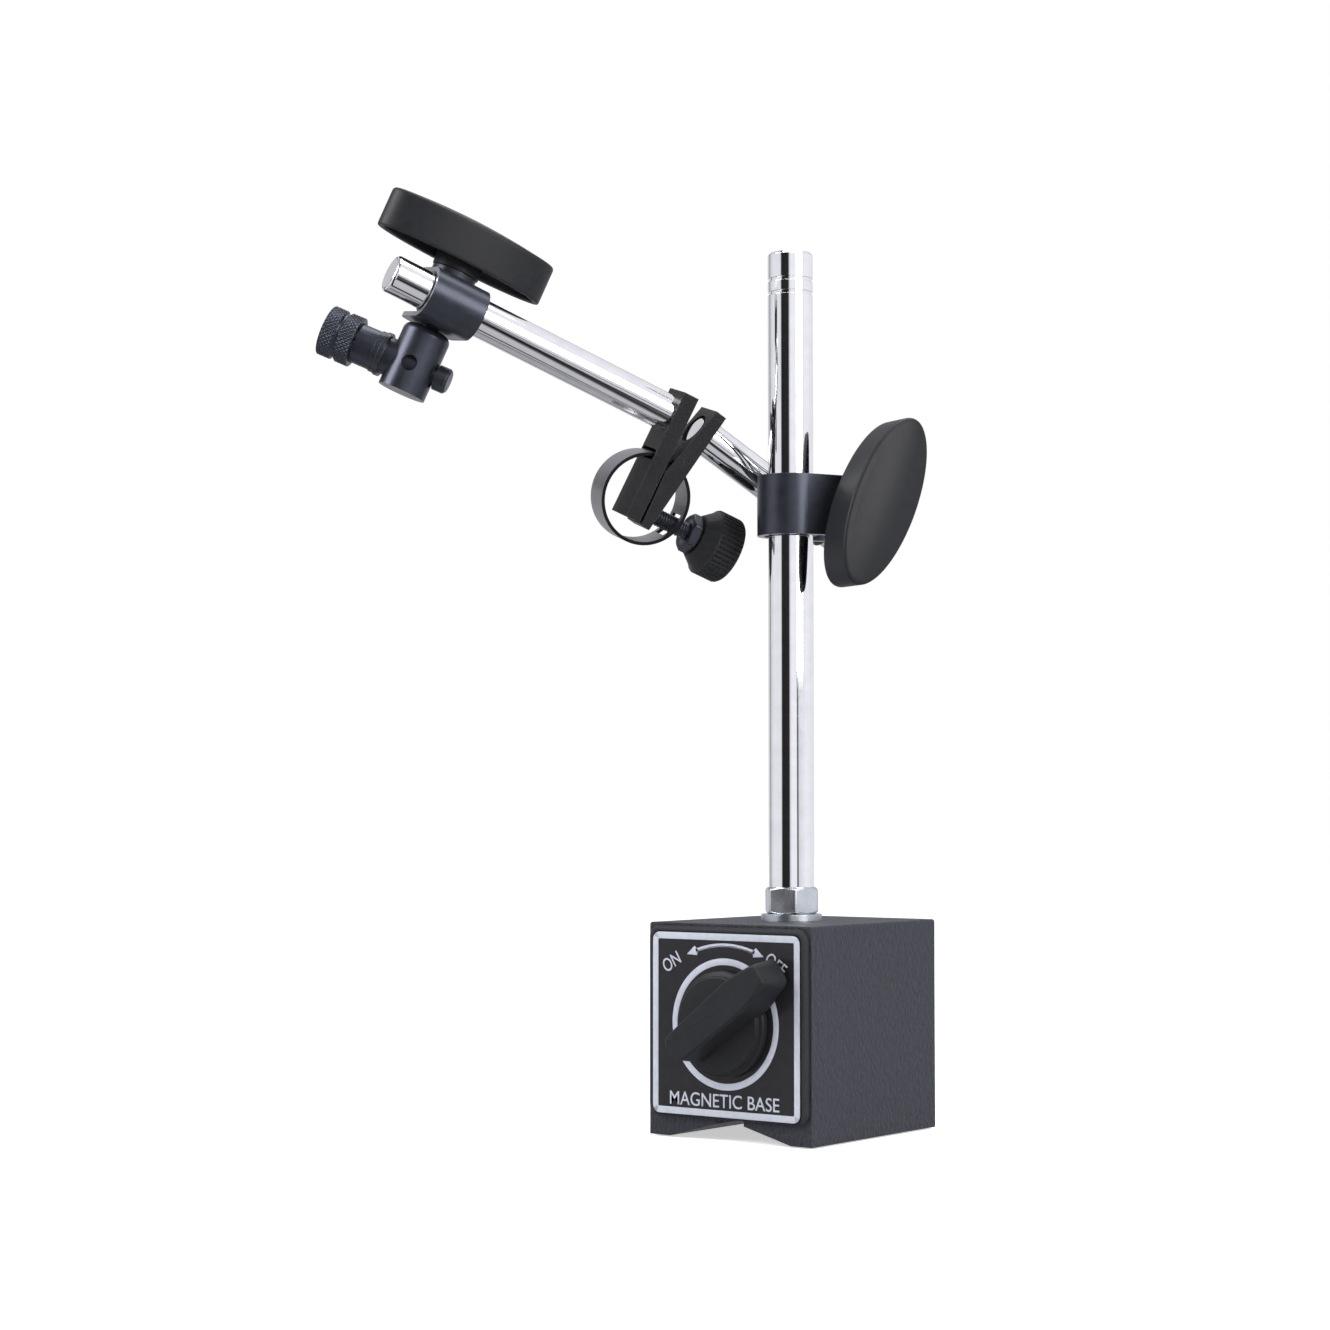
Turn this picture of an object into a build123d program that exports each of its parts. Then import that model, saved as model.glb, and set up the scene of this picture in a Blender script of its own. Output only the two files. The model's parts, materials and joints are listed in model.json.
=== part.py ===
"""Dial gauge stand: magnetic base, chrome column, fine-adjust arm and swivelling gauge holder.

Frame: origin at the centre of the base's bottom face, +Z up along the column's side,
-Y out of the face that carries the switch knob.  All sizes are in millimetres.
"""
from build123d import *
from math import cos, radians, sin
import os

# ---------------------------------------------------------------- driving dimensions
FIT = 0.05                  # radial running clearance of every turning or sliding pair

BASE_W, BASE_D, BASE_H = 51.0, 58.0, 55.0
BASE_FRONT_Y = -28.0        # the two pole blocks start here; bezel and plate stand proud
SEAM = 3.0                  # non-magnetic strip between the pole blocks
VEE_W, VEE_SLOPE = 38.0, 15.0
SLOT_W, SLOT_H = 9.0, 6.5   # central slot that cuts off the top of the V-groove
ROTOR_R, ROTOR_L, ROTOR_Z = 13.5, 40.0, 29.6
BORE_R = ROTOR_R + 0.3
DETENT_R, DETENT_BALL_R = 9.5, 1.9    # track radius round the shaft, ball radius

COLUMN_R, COLUMN_TOP = 6.0, 232.3
NUT_AF, NUT_Z0, NUT_Z1, NUT_TURN = 13.0, 56.8, 63.8, 12.8
STUD_R, STUD_Z0 = 4.0, 45.0

CLAMP_Z = 164.6             # height of the column clamp's centre
CLAMP_SWING = 65.5          # direction of the clamp's legs, from +X towards +Y
CLAMP_BOLT_X = 14.5         # column axis to bolt axis
CLAMP_HALF, CLAMP_H = 8.9, 16.0
EYE_Y = 15.4                # clamp centre plane to the rod held in the eye bolt
ARM_PITCH = 31.0            # rear rod above the horizontal
REAR_ROD_R, REAR_ROD_L, REAR_TAIL = 4.75, 37.6, 11.5

ARM_ROLL = 16.0             # fine-adjust block turned about the rear rod
BAR_W, BAR_TOP = 12.0, 6.7  # bar depth, and height above the rods
BAR_BOTTOM = 29.5           # bar length below the rods
PIVOT_DROP = 14.5           # fulcrum ridge below the rods
RIDGE = 5.6                 # rear bar's thickness at the ridge
FLEX = 9.5                  # angle between the two rods
FRONT_BAR_T = 4.3
FRONT_ROD_R, FRONT_ROD_L = 5.0, 84.0
HOOP_R, HOOP_T, HOOP_W = 12.0, 0.9, 9.5
SCREW_DROP = 11.6           # screw axis below the fulcrum
SCREW_R = 2.4

ARM_CLAMP_S = 66.0          # front bar to arm clamp, along the front rod
ARM_CLAMP_ROLL = -5.0
ARM_BOLT_Y = 9.5            # rod axis to bolt axis
ARM_HALF, ARM_CLAMP_L = 6.9, 15.0
HOLDER_TURN = -27.0         # gauge spindle turned about the clamp bolt
SPINDLE_DROP = 18.0         # rod axis to gauge spindle axis
BARREL_R, BARREL_L = 6.4, 18.0
STEM_R = 4.0                # gauge stem, 8 mm

KNOB_A, KNOB_B = 24.0, 9.6    # half axes of the oval clamp knobs
KNOB_WALL, KNOB_CROWN = 10.5, 1.6
KNOB_HUB_R, KNOB_HUB_DROP = 6.4, 2.2
COLUMN_KNOB_TURN, COLUMN_KNOB_FACE = 23.5, 13.9   # turn from upright; rim plane from clamp centre
ARM_KNOB_FACE = 11.2

SWITCH_R, SWITCH_ANGLE = 13.65, 38.0              # dial radius; grip above the horizontal


# ---------------------------------------------------------------- small helpers
def rod(radius, z0, z1):
    """Cylinder along local Z from z0 to z1."""
    return Pos(0, 0, (z0 + z1) / 2) * Cylinder(radius, z1 - z0)


def rod_x(radius, x0, x1):
    """Cylinder along local X from x0 to x1."""
    return Pos((x0 + x1) / 2, 0, 0) * Rot(0, 90, 0) * Cylinder(radius, x1 - x0)


def rod_y(radius, y0, y1):
    """Cylinder along local Y from y0 to y1."""
    return Pos(0, (y0 + y1) / 2, 0) * Rot(90, 0, 0) * Cylinder(radius, y1 - y0)


def block(x0, x1, y0, y1, z0, z1):
    """Box given by its lowest and highest corners."""
    return Pos((x0 + x1) / 2, (y0 + y1) / 2, (z0 + z1) / 2) * Box(x1 - x0, y1 - y0, z1 - z0)


def hexagon(across_flats, z0, z1):
    """Hexagonal prism along local Z."""
    outline = RegularPolygon(across_flats / 2, 6, major_radius=False)
    return Pos(0, 0, z0) * extrude(outline, z1 - z0)


def save(name, solid, place=None):
    """Write one node, moved from its own frame to the part's frame."""
    if place is not None:
        solid = place * solid
    pieces = solid.solids()
    out = pieces[0] if len(pieces) == 1 else Compound(pieces)
    out.label = name
    export_step(out, f"parts/{name}.step")


# ---------------------------------------------------------------- frames of the moving groups
def column_clamp_frame():
    """X from the column to the clamp bolt, Y away from the knob, Z up."""
    a = radians(CLAMP_SWING)
    return Plane(origin=(0, 0, CLAMP_Z), x_dir=(cos(a), sin(a), 0), z_dir=(0, 0, 1)).location


def rear_rod_frame():
    """Origin in the eye bolt, X out along the rear rod, Z up the fine-adjust bars."""
    flip = Plane(origin=(CLAMP_BOLT_X, EYE_Y, 0), x_dir=(-1, 0, 0), z_dir=(0, 0, 1)).location
    return column_clamp_frame() * flip * Rot(0, -ARM_PITCH, 0) * Rot(-ARM_ROLL, 0, 0)


def rear_bar_frame():
    """Origin on the rear bar's back face where the rear rod meets it."""
    return rear_rod_frame() * Pos(REAR_ROD_L, 0, 0)


def front_bar_frame():
    """Origin on the fulcrum, X out along the front rod."""
    return rear_bar_frame() * Pos(RIDGE, 0, -PIVOT_DROP) * Rot(0, FLEX, 0)


def arm_clamp_frame():
    """Origin on the front rod, X to its free end, Z along the clamp bolt to the knob."""
    reach = 0.3 + FRONT_BAR_T + ARM_CLAMP_S
    return front_bar_frame() * Pos(reach, 0, PIVOT_DROP) * Rot(-ARM_CLAMP_ROLL, 0, 0)


def holder_frame():
    """Origin where the gauge spindle crosses the clamp bolt, X to the knurled nut."""
    return arm_bolt_frame() * Pos(0, 0, -SPINDLE_DROP) * Rot(0, 0, HOLDER_TURN)


def column_bolt_frame():
    """Origin on the clamp's centre plane, Z along the bolt towards the knob."""
    return column_clamp_frame() * Pos(CLAMP_BOLT_X, 0, 0) * Rot(90, 0, 0)


def arm_bolt_frame():
    """Origin beside the front rod, Z along the bolt to the knob."""
    return arm_clamp_frame() * Pos(0, -ARM_BOLT_Y, 0)


# ---------------------------------------------------------------- magnetic base
def pole_blocks():
    back = BASE_FRONT_Y + BASE_D
    body = block(-BASE_W / 2, BASE_W / 2, BASE_FRONT_Y, back, 0, BASE_H)
    body = fillet(body.edges().filter_by(Axis.Y).group_by(Axis.Z)[-1], 0.8)
    rise = VEE_W / 2 * sin(radians(VEE_SLOPE)) / cos(radians(VEE_SLOPE))
    groove = Polygon((-VEE_W / 2, 0), (VEE_W / 2, 0), (0, rise), align=None)
    body -= Pos(0, back + 1, 0) * Rot(90, 0, 0) * extrude(groove, BASE_D + 2)
    body -= block(-SLOT_W / 2, SLOT_W / 2, BASE_FRONT_Y - 1, back + 1, -1, SLOT_H)
    body -= Pos(0, 0, ROTOR_Z) * rod_y(BORE_R, BASE_FRONT_Y - 1, back + 1)
    body -= rod(STUD_R + 0.02, STUD_Z0 - 0.4, BASE_H + 1)
    for x, z in plate_corners():
        body -= Pos(x, 0, z) * rod_y(1.5, BASE_FRONT_Y - 1, BASE_FRONT_Y + 6.3)
    left = body & block(-BASE_W, -SEAM / 2, -50, 50, -1, 60)
    right = body & block(SEAM / 2, BASE_W, -50, 50, -1, 60)
    strip = body & block(-SEAM / 2, SEAM / 2, -50, 50, -1, 60)
    return left, right, strip


def plate_corners():
    """Places of the four screws behind the label plate."""
    return [(x, 29.3 + z) for x in (-19.5, 19.5) for z in (-19.5, 19.5)]


def rotor():
    """Diametral magnet; a track in its front face guides the detent ball."""
    front = BASE_FRONT_Y + 4.0
    magnet = rod_y(ROTOR_R, front, front + ROTOR_L) - rod_y(4.0, front - 1, front + ROTOR_L + 1)
    magnet -= Pos(0, front + ROTOR_L, 0) * block(-5, 5, -2.5, 1, -1.6, 1.6)
    track = Pos(0, front, 0) * Rot(90, 0, 0) * Torus(DETENT_R, DETENT_BALL_R + 0.45)
    return magnet - track


def rotor_shaft():
    front = BASE_FRONT_Y + 4.0
    shaft = rod_y(3.98, BASE_FRONT_Y - 8.0, front + ROTOR_L + 6.0)
    flat = block(-5, 5, BASE_FRONT_Y - 9, BASE_FRONT_Y - 2.6, 2.95, 5.0)
    return shaft - Rot(0, -SWITCH_ANGLE, 0) * flat


def front_bush():
    """Bearing disc that closes the bore behind the plate, with the detent pocket."""
    disc = rod_y(BORE_R - 0.02, BASE_FRONT_Y + 0.05, BASE_FRONT_Y + 3.7)
    disc -= rod_y(3.98 + FIT, BASE_FRONT_Y - 1, BASE_FRONT_Y + 5)
    disc -= Pos(DETENT_R, 0, 0) * rod_y(DETENT_BALL_R + 0.2, BASE_FRONT_Y + 0.6, BASE_FRONT_Y + 5)
    return disc


def rear_cover():
    """Flanged cap pressed in the back of the bore, with the rear shaft bearing."""
    back = BASE_FRONT_Y + BASE_D
    cap = rod_y(BORE_R - 0.02, back - 7.5, back) + rod_y(17.0, back, back + 1.0)
    cap -= rod_y(10.5, back - 8, back - 3.5)
    cap += rod_y(7.0, back - 10.0, back - 1.0)
    cap -= rod_y(3.98 + FIT, back - 11, back - 2.5)
    for k in range(3):
        angle = radians(90 + 120 * k)
        spot = Pos(15.2 * cos(angle), 0, 15.2 * sin(angle))
        cap -= spot * rod_y(0.9, back - 1, back + 2)
    return cap


def bezel_and_plate():
    """Black frame and the printed plate it carries, both with rounded corners."""
    facing = Plane(origin=(0, BASE_FRONT_Y, 29.3), x_dir=(1, 0, 0), z_dir=(0, -1, 0)).location
    frame = Pos(0, 0.45, 0) * extrude(RectangleRounded(49.8, 48.9, 3.0), 1.6)
    frame = chamfer(frame.edges().group_by(Axis.Z)[-1], 0.7)
    frame -= Pos(0, 0, 1.1) * extrude(RectangleRounded(46.8, 47.2, 2.0), 2)
    frame -= Pos(0, ROTOR_Z - 29.3, 0) * rod(6.5, -1, 3)
    plate = Pos(0, 0, 1.1) * extrude(RectangleRounded(46.5, 46.9, 1.9), 0.7)
    plate -= Pos(0, ROTOR_Z - 29.3, 0) * rod(6.5, -1, 5)
    screws = None
    for x, z in plate_corners():
        spot = Pos(x, z - 29.3, 0)
        screw = spot * (rod(1.25, -6.0, 0.2) + rod(2.1, 0.15, 1.05))
        frame -= spot * (rod(1.5, -1, 0.2) + rod(2.4, 0.15, 2))
        screws = screw if screws is None else screws + screw
    return facing * frame, facing * plate, facing * screws


def switch_knob():
    """Round dial with a raised bar grip whose pointer end overhangs the dial."""
    boss = rod(6.0, -2.0, 1.0)
    dial = rod(SWITCH_R, 0.0, 3.4)
    dial = chamfer(dial.edges().group_by(Axis.Z)[-1], 0.8)
    outline = Polygon((-10.8, -4.8), (14.0, -5.8), (24.0, -3.8), (24.0, 3.8), (14.0, 5.8),
                      (-11.8, 5.4), (-13.4, 1.4), align=None)
    grip = extrude(outline, 9.6, taper=7)
    knob = boss + dial + Pos(0, 0, 1.2) * grip
    bore = rod(4.0, -3.0, 6.1) - block(-5, 5, 3.0, 5.0, 0.5, 8)
    return knob - bore


# ---------------------------------------------------------------- column
def column():
    post = rod(COLUMN_R, NUT_Z1, COLUMN_TOP)
    post = chamfer(post.edges().group_by(Axis.Z)[-1], 0.7)
    for z in (COLUMN_TOP - 7.4, COLUMN_TOP - 11.0):
        post -= rod(COLUMN_R + 1, z - 0.45, z + 0.45) - rod(COLUMN_R - 0.45, z - 1, z + 1)
    return post + rod(STUD_R, STUD_Z0, NUT_Z1)


def column_nut():
    nut = hexagon(NUT_AF, NUT_Z0, NUT_Z1) & rod(7.35, NUT_Z0, NUT_Z1)
    return nut - rod(STUD_R + 0.02, NUT_Z0 - 1, NUT_Z1 + 1)


def column_washer():
    return rod(8.0, BASE_H, NUT_Z0) - rod(STUD_R + 0.1, BASE_H - 1, NUT_Z0 + 1)


# ---------------------------------------------------------------- straps, liners, clamp knobs
def liner(inner, outer, length):
    """Split sleeve along Z, slit towards +X."""
    sleeve = rod(outer, -length / 2, length / 2) - rod(inner, -length, length)
    return sleeve - block(0, 2 * outer, -0.6, 0.6, -length, length)


def strap(inner, outer, reach, length, hole, bolt_x):
    """U strap along Z round a rod, its two legs running to +X with a bolt hole along Y."""
    shell = rod(outer, -length / 2, length / 2)
    shell += block(0, reach, -outer, outer, -length / 2, length / 2)
    shell = fillet(shell.edges().filter_by(Axis.Y).group_by(Axis.X)[-1], min(4.0, length / 4))
    shell -= rod(inner, -length, length)
    shell -= block(0, reach + 1, -inner, inner, -length, length)
    return shell - Pos(bolt_x, 0, 0) * rod_y(hole, -outer - 1, outer + 1)


def washer(inner, outer, z0, z1):
    return rod(outer, z0, z1) - rod(inner, z0 - 1, z1 + 1)


def clamp_knob(bolt_r):
    """Oval knob on a Z axis: rim plane at z = 0, hollow underneath, hub for the nut insert."""
    body = extrude(Ellipse(KNOB_A, KNOB_B), KNOB_WALL)
    crown_r = (KNOB_A ** 2 + KNOB_CROWN ** 2) / (2 * KNOB_CROWN)
    dome = Pos(0, 0, KNOB_WALL + KNOB_CROWN - crown_r) * Sphere(crown_r)
    tall = extrude(Ellipse(KNOB_A, KNOB_B), KNOB_WALL + KNOB_CROWN)
    body = tall & (dome + block(-30, 30, -30, 30, -1, KNOB_WALL - 0.5))
    hollow = extrude(Ellipse(KNOB_A - 2.0, KNOB_B - 2.0), KNOB_WALL - 4.5)
    body -= hollow
    body += rod(KNOB_HUB_R, -KNOB_HUB_DROP, KNOB_WALL - 2.0)
    return body - rod(bolt_r + 1.7, -KNOB_HUB_DROP - 1, 7.2)


def knob_insert(bolt_r):
    """Brass nut moulded in the knob's hub."""
    return rod(bolt_r + 1.7, -KNOB_HUB_DROP + 0.2, 7.1) - rod(bolt_r + FIT, -9, 9)


def eye_bolt():
    """Column clamp bolt: threaded stud with a cross-bored barrel that holds the rear rod."""
    bolt_r, head_z0 = 3.0, -CLAMP_HALF - 0.3
    body = rod(bolt_r, head_z0 - 3.0, COLUMN_KNOB_FACE + 6.6) + rod(7.6, head_z0 - 17.4, head_z0)
    return body - Pos(0, 0, -EYE_Y) * Rot(0, 0, -ARM_PITCH) * rod_x(5.65, -12, 12)


def eye_bush():
    """Split bush in the eye, along local X."""
    bush = rod_x(5.6, -7.0, 7.0) - rod_x(REAR_ROD_R + FIT, -8, 8)
    return bush - block(-8, 8, -0.5, 0.5, 0, 8)


# ---------------------------------------------------------------- fine adjuster
def rear_rod():
    stem = rod_x(REAR_ROD_R, -REAR_TAIL, REAR_ROD_L)
    stem = chamfer(stem.edges().group_by(Axis.X)[0], 0.8)
    return stem + rod_x(3.5, REAR_ROD_L, REAR_ROD_L + 3.4)


def rear_bar():
    """Bar with a fulcrum ridge; its inner face falls away above and below the ridge."""
    outline = Polygon((0, BAR_TOP), (0, -BAR_BOTTOM), (2.6, -BAR_BOTTOM),
                      (RIDGE - 0.3, -PIVOT_DROP - 0.9), (RIDGE, -PIVOT_DROP),
                      (RIDGE - 0.25, -PIVOT_DROP + 1.2), (3.2, BAR_TOP), align=None)
    bar = Pos(0, BAR_W / 2, 0) * Rot(90, 0, 0) * extrude(outline, BAR_W)
    bar -= rod_x(3.52, -1, 9)
    bar -= rod_x(4.4, 2.6, 9)
    bar -= hoop_slot() + Pos(2.2, 0, -PIVOT_DROP + 5.6) * rod_y(0.75, -BAR_W, BAR_W)
    hole = Pos(RIDGE, 0, -PIVOT_DROP) * Rot(0, FLEX, 0) * Pos(0, 0, -SCREW_DROP)
    return bar - hole * rod_x(SCREW_R + 0.9, -20, 12)


def hoop_centre():
    return Pos(5.2, 0, -23.1)


def hoop_slot():
    """Curved slot that the hoop passes through, just above the fulcrum."""
    ring = Rot(90, 0, 0) * (Cylinder(HOOP_R + 0.75, HOOP_W + 0.8) - Cylinder(HOOP_R - 0.75, 20))
    return (hoop_centre() * ring) & block(-5, 15, -8, 8, -PIVOT_DROP + 0.2, 0)


def band_hoop():
    """Spring steel band in a closed hoop, pierced where the screw passes."""
    ring = Rot(90, 0, 0) * Cylinder(HOOP_R + HOOP_T / 2, HOOP_W)
    ring -= Rot(90, 0, 0) * Cylinder(HOOP_R - HOOP_T / 2, 20)
    ring = hoop_centre() * ring
    hole = Pos(RIDGE, 0, -PIVOT_DROP) * Rot(0, FLEX, 0) * Pos(0, 0, -SCREW_DROP)
    window = hole * block(-16, -8, -SCREW_R - 0.6, SCREW_R + 0.6, -3.6, 3.2)
    return ring - window


def hoop_pin():
    """Roll pin across the rear bar that traps the hoop in its slot."""
    pin = Pos(2.2, 0, -PIVOT_DROP + 5.6) * rod_y(0.75, -BAR_W / 2 + 0.2, BAR_W / 2 - 0.2)
    return pin


def front_bar():
    """Straight bar that rocks on the ridge; local origin on the fulcrum."""
    x0 = 0.3
    bar = block(x0, x0 + FRONT_BAR_T, -BAR_W / 2, BAR_W / 2,
                PIVOT_DROP - BAR_BOTTOM, PIVOT_DROP + BAR_TOP)
    bar -= Pos(0, 0, PIVOT_DROP) * rod_x(3.52, -1, 9)
    back = Rot(0, -FLEX, 0) * Pos(-RIDGE, 0, PIVOT_DROP)
    bar -= back * front_slot()
    return bar - Pos(0, 0, -SCREW_DROP) * rod_x(SCREW_R + 0.02, -2, FRONT_BAR_T - 0.4)


def front_slot():
    ring = Rot(90, 0, 0) * (Cylinder(HOOP_R + 1.4, HOOP_W + 0.8) - Cylinder(HOOP_R - 1.4, 20))
    return (hoop_centre() * ring) & block(0, 20, -8, 8, -PIVOT_DROP, 0)


def front_rod():
    x0 = 0.3 + FRONT_BAR_T
    stem = rod_x(FRONT_ROD_R, x0, x0 + FRONT_ROD_L)
    stem = fillet(stem.edges().group_by(Axis.X)[-1], 0.9)
    return Pos(0, 0, PIVOT_DROP) * (stem + rod_x(3.5, x0 - FRONT_BAR_T + 0.3, x0))


def fine_screw():
    return rod_x(SCREW_R, -23.7, FRONT_BAR_T - 0.7)


def lock_nut():
    return Rot(0, 90, 0) * Rot(0, 0, 15) * (hexagon(9.5, -17.7, -14.8) - rod(SCREW_R + 0.02, -20, -10))


def fine_knob():
    """Ribbed thumb knob with a conical neck, along -X."""
    profile = Polyline((-17.8, 0), (-17.8, 5.9), (-21.6, 8.6), (-21.6, 9.3), (-28.2, 9.3),
                       (-28.8, 8.5), (-30.2, 3.0), (-30.4, 0), (-17.8, 0))
    face = Plane.XZ * make_face(profile)
    knob = revolve(face, Axis.X, 360)
    ribs = 36
    for k in range(ribs):
        groove = Rot(360 / ribs * k, 0, 0) * Pos(-25.2, 0, 9.45) * rod_x(0.38, -3.8, 3.8)
        knob -= groove
    return knob - rod_x(SCREW_R, -23.7, -16)


# ---------------------------------------------------------------- arm clamp and gauge holder
def arm_bolt():
    """Clamp bolt of the gauge holder; its lower end is fixed in the holder barrel."""
    return rod(2.5, -SPINDLE_DROP + BARREL_R, ARM_KNOB_FACE + 6.6)


def holder_barrel():
    """Barrel on the clamp bolt, bored along X for the gauge collet; origin on the collet axis."""
    top = SPINDLE_DROP - ARM_HALF - 0.4
    barrel = rod(BARREL_R, top - BARREL_L, top)
    barrel = fillet(barrel.edges().group_by(Axis.Z)[-1], 2.2)
    barrel -= rod_x(5.1, -3.2, 9)
    barrel -= rod_x(2.5, -9, 0)
    barrel -= rod_y(2.1, 0, 9)
    return barrel - rod(2.52, 5.8, 30)


def collet():
    """Split collet that grips the gauge stem, with a threaded tail through the barrel."""
    body = rod_x(5.05, -3.0, 7.6) + rod_x(5.3, 7.6, 20.5)
    body += rod_x(2.45, -7.0, -3.0)
    body -= rod_x(STEM_R, -1.0, 22)
    for angle in (0, 90):
        body -= Rot(angle, 0, 0) * block(15.6, 22, -0.35, 0.35, -7, 7)
    return body


def collet_washers():
    """Two thin rings between the barrel and the clamp nut."""
    first = rod_x(5.9, 7.7, 8.9) - rod_x(5.34, 6, 12)
    second = rod_x(5.6, 9.0, 10.4) - rod_x(5.34, 6, 12)
    return first + second


def knurled_nut():
    nut = rod_x(6.85, 15.9, 24.8) - rod_x(7.5, 19.8, 20.9) + rod_x(6.0, 19.7, 21.0)
    nut = chamfer(nut.edges().group_by(Axis.X)[-1], 0.5)
    nut -= rod_x(5.3 + FIT, 15, 21.2)
    return nut - rod_x(STEM_R + 0.1, 20, 26)


def tail_nut():
    """Plain round nut on the collet's tail."""
    nut = rod_x(3.4, -10.4, -6.9)
    nut = chamfer(nut.edges().group_by(Axis.X)[0], 0.6)
    return nut - rod_x(2.47, -7.1, -6)


# ---------------------------------------------------------------- assembly
def main():
    os.makedirs("parts", exist_ok=True)
    left, right, strip = pole_blocks()
    frame, plate, screws = bezel_and_plate()
    save("pole_block_left", left)
    save("pole_block_right", right)
    save("pole_spacer", strip)
    save("label_bezel", frame)
    save("label_plate", plate)
    save("bezel_screws", screws)
    save("rear_cover", Pos(0, 0, ROTOR_Z) * rear_cover())
    save("front_bush", Pos(0, 0, ROTOR_Z) * front_bush())
    save("rotor_magnet", Pos(0, 0, ROTOR_Z) * rotor())
    save("rotor_shaft", Pos(0, 0, ROTOR_Z) * rotor_shaft())
    detent = Pos(DETENT_R, 0, ROTOR_Z)
    save("detent_ball", detent * Pos(0, BASE_FRONT_Y + 3.9, 0) * Sphere(DETENT_BALL_R))
    save("detent_spring", detent * (rod_y(1.9, BASE_FRONT_Y + 0.65, BASE_FRONT_Y + 1.9)
                                    - rod_y(1.4, BASE_FRONT_Y, BASE_FRONT_Y + 3)))
    knob_place = Plane(origin=(0, BASE_FRONT_Y - 2.3, ROTOR_Z), x_dir=(1, 0, 0), z_dir=(0, -1, 0))
    save("switch_knob", switch_knob(), knob_place.location * Rot(0, 0, SWITCH_ANGLE))

    save("column", column())
    save("column_nut", Rot(0, 0, NUT_TURN) * column_nut())
    save("column_washer", column_washer())

    at_clamp, at_bolt = column_clamp_frame(), column_bolt_frame()
    save("column_liner", liner(COLUMN_R + FIT, 7.0, CLAMP_H - 0.6), at_clamp)
    save("column_strap", strap(7.0 + FIT, CLAMP_HALF, CLAMP_BOLT_X + 7.5, CLAMP_H, 3.1,
                               CLAMP_BOLT_X), at_clamp)
    save("column_eye_bolt", eye_bolt(), at_bolt)
    spacer_top = COLUMN_KNOB_FACE - KNOB_HUB_DROP - 0.05
    save("column_knob_spacer", washer(3.0 + FIT, 6.2, CLAMP_HALF + 0.3, spacer_top), at_bolt)
    knob_at = at_bolt * Pos(0, 0, COLUMN_KNOB_FACE) * Rot(0, 0, 90 - COLUMN_KNOB_TURN)
    save("column_knob", clamp_knob(3.0), knob_at)
    save("column_knob_insert", knob_insert(3.0), knob_at)

    at_rod, at_rear, at_front = rear_rod_frame(), rear_bar_frame(), front_bar_frame()
    save("eye_bush", eye_bush(), at_rod)
    save("rear_rod", rear_rod(), at_rod)
    save("rear_bar", rear_bar(), at_rear)
    save("band_hoop", band_hoop(), at_rear)
    save("hoop_pin", hoop_pin(), at_rear)
    save("front_bar", front_bar(), at_front)
    save("front_rod", front_rod(), at_front)
    on_screw = at_front * Pos(0, 0, -SCREW_DROP)
    save("fine_screw", fine_screw(), on_screw)
    save("fine_lock_nut", lock_nut(), on_screw)
    save("fine_knob", fine_knob(), on_screw)

    at_arm, at_arm_bolt, at_holder = arm_clamp_frame(), arm_bolt_frame(), holder_frame()
    along_rod = at_arm * Rot(0, 90, 0) * Rot(0, 0, -90)
    save("arm_liner", liner(FRONT_ROD_R + FIT, 5.6, ARM_CLAMP_L - 0.6), along_rod)
    save("arm_strap", strap(5.6 + FIT, ARM_HALF, ARM_BOLT_Y + 6.0, ARM_CLAMP_L, 2.6,
                            ARM_BOLT_Y), along_rod)
    save("arm_bolt", arm_bolt(), at_arm_bolt)
    arm_top = ARM_KNOB_FACE - KNOB_HUB_DROP - 0.05
    save("arm_knob_washer", washer(2.5 + FIT, 6.0, ARM_HALF + 0.3, arm_top), at_arm_bolt)
    arm_knob_at = at_arm_bolt * Pos(0, 0, ARM_KNOB_FACE)
    save("arm_knob", clamp_knob(2.5), arm_knob_at)
    save("arm_knob_insert", knob_insert(2.5), arm_knob_at)
    save("holder_barrel", holder_barrel(), at_holder)
    save("stem_collet", collet(), at_holder)
    save("collet_washers", collet_washers(), at_holder)
    save("knurled_nut", knurled_nut(), at_holder)
    save("collet_tail_nut", tail_nut(), at_holder)


main()
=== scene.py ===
"""Dial gauge stand: magnetic base, chrome column, fine-adjust arm and gauge clamp.

Sizes inside a piece's own frame are millimetres; Blender's world is in metres.
"""
import json

import bpy
import numpy as np
from mathutils import Euler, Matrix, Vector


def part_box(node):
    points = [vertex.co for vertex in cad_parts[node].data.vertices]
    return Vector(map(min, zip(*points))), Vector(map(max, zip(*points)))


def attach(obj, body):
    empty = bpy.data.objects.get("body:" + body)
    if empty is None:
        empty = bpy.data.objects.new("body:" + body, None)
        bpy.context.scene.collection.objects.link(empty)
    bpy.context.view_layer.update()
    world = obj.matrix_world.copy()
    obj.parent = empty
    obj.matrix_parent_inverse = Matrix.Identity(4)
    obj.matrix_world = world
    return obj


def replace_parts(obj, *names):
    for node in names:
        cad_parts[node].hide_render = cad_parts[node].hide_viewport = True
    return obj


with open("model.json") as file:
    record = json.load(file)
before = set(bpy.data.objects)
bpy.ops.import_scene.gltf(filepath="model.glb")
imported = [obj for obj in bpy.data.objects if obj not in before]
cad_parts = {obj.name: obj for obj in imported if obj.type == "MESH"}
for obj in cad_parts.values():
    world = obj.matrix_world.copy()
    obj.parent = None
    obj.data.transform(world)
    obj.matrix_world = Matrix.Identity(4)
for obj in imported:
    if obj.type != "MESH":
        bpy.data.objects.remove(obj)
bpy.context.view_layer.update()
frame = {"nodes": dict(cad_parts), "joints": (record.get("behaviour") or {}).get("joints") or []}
NODES = frame["nodes"]
JOINT = {joint["name"]: joint for joint in frame["joints"]}
MM = 0.001
UP = np.array([0.0, 0.0, 1.0])


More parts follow.
